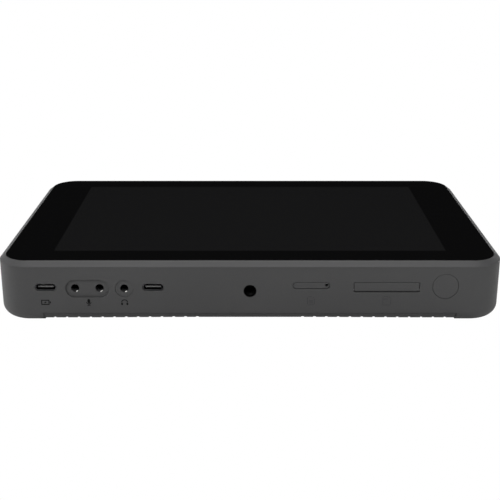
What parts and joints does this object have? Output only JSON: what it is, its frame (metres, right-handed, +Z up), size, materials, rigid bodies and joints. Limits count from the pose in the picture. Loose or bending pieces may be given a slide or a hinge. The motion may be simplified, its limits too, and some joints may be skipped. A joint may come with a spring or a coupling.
{
  "type": "smart display",
  "caption": "Touch display set flush in a thick slab housing, with front ports, card slots, a power button and a ribbed base",
  "frame": {"origin": "on the table under the middle of the housing, at the underside of the feet", "axes": "+X to the right seen from the port side (long side), -Y out of the port side, +Z up out of the screen"},
  "size_m": [0.2188, 0.1392, 0.0281],
  "materials": {
    "housing": "fine matte texture, dark grey",
    "bezel": "fine matte texture, dark grey, seen lighter on its chamfer",
    "glass": "polished, black behind",
    "rubber": "matte",
    "steel": "satin plating",
    "dark_metal": "dark plating",
    "connector": "moulded black",
    "circuit": "green solder mask",
    "copper": "bare copper",
    "aluminium": "plain sheet",
    "battery": "foil pouch",
    "display": "dark panel, switched off",
    "adhesive": "black foam tape",
    "flex": "amber film",
    "cable": "black sheath",
    "pad": "soft pad"
  },
  "bodies": {
    "chassis": {"main_housing": "housing", "bottom_cover": "housing", "top_bezel": "bezel", "cover_glass": "glass", "glass_adhesive": "adhesive", "display_panel": "display", "backlight_tray": "aluminium", "mid_frame": "aluminium", "foot_front_left": "rubber", "foot_back_left": "rubber", "foot_front_right": "rubber", "foot_back_right": "rubber", "usb_c_power_shell": "steel", "usb_c_data_shell": "steel", "sim_socket": "steel", "sd_door_pin": "steel", "sd_socket": "steel", "power_switch": "steel", "modem_shield": "steel", "fan_bearing": "steel", "cover_screw_1": "steel", "cover_screw_2": "steel", "cover_screw_3": "steel", "cover_screw_4": "steel", "board_screw_1": "steel", "board_screw_2": "steel", "board_screw_3": "steel", "frame_screw_1": "steel", "frame_screw_2": "steel", "frame_screw_3": "steel", "frame_screw_4": "steel", "usb_c_power_tongue": "connector", "usb_c_data_tongue": "connector", "processor": "connector", "fan_case": "connector", "speaker_left": "connector", "speaker_right": "connector", "line_in_jack": "dark_metal", "mic_jack": "dark_metal", "headphone_jack": "dark_metal", "tripod_insert": "dark_metal", "button_board": "circuit", "main_board": "circuit", "antenna": "circuit", "thermal_pad": "pad", "heat_spreader": "copper", "heat_pipe": "copper", "fin_stack": "copper", "fan_stator": "copper", "battery_left": "battery", "battery_right": "battery", "battery_cable": "cable", "antenna_cable": "cable", "display_flex": "flex"},
    "fan_rotor": {"fan_impeller": "connector", "fan_shaft": "steel"},
    "sim_tray_body": {"sim_tray": "housing"},
    "sd_door_body": {"sd_door": "housing"},
    "power_button_body": {"power_button": "housing", "switch_plunger": "connector"}
  },
  "joints": [
    {"name": "power_button_press", "type": "slide", "parent": "chassis", "child": "power_button_body", "axis": [0, 1, 0], "range_m": [0, 0.0005], "stiffness_N_per_m": 3000, "springref_m": -0.0001},
    {"name": "sim_tray_slide", "type": "slide", "parent": "chassis", "child": "sim_tray_body", "axis": [0, -1, 0], "range_m": [0, 0.016]},
    {"name": "sd_door_hinge", "type": "hinge", "parent": "chassis", "child": "sd_door_body", "pos_m": [0.0586, -0.06865, 0.01564], "axis": [1, 0, 0], "range_deg": [0, 95]},
    {"name": "fan_spin", "type": "hinge", "parent": "chassis", "child": "fan_rotor", "pos_m": [0.05879, 0.031, 0], "axis": [0, 0, 1], "continuous": true}
  ]
}
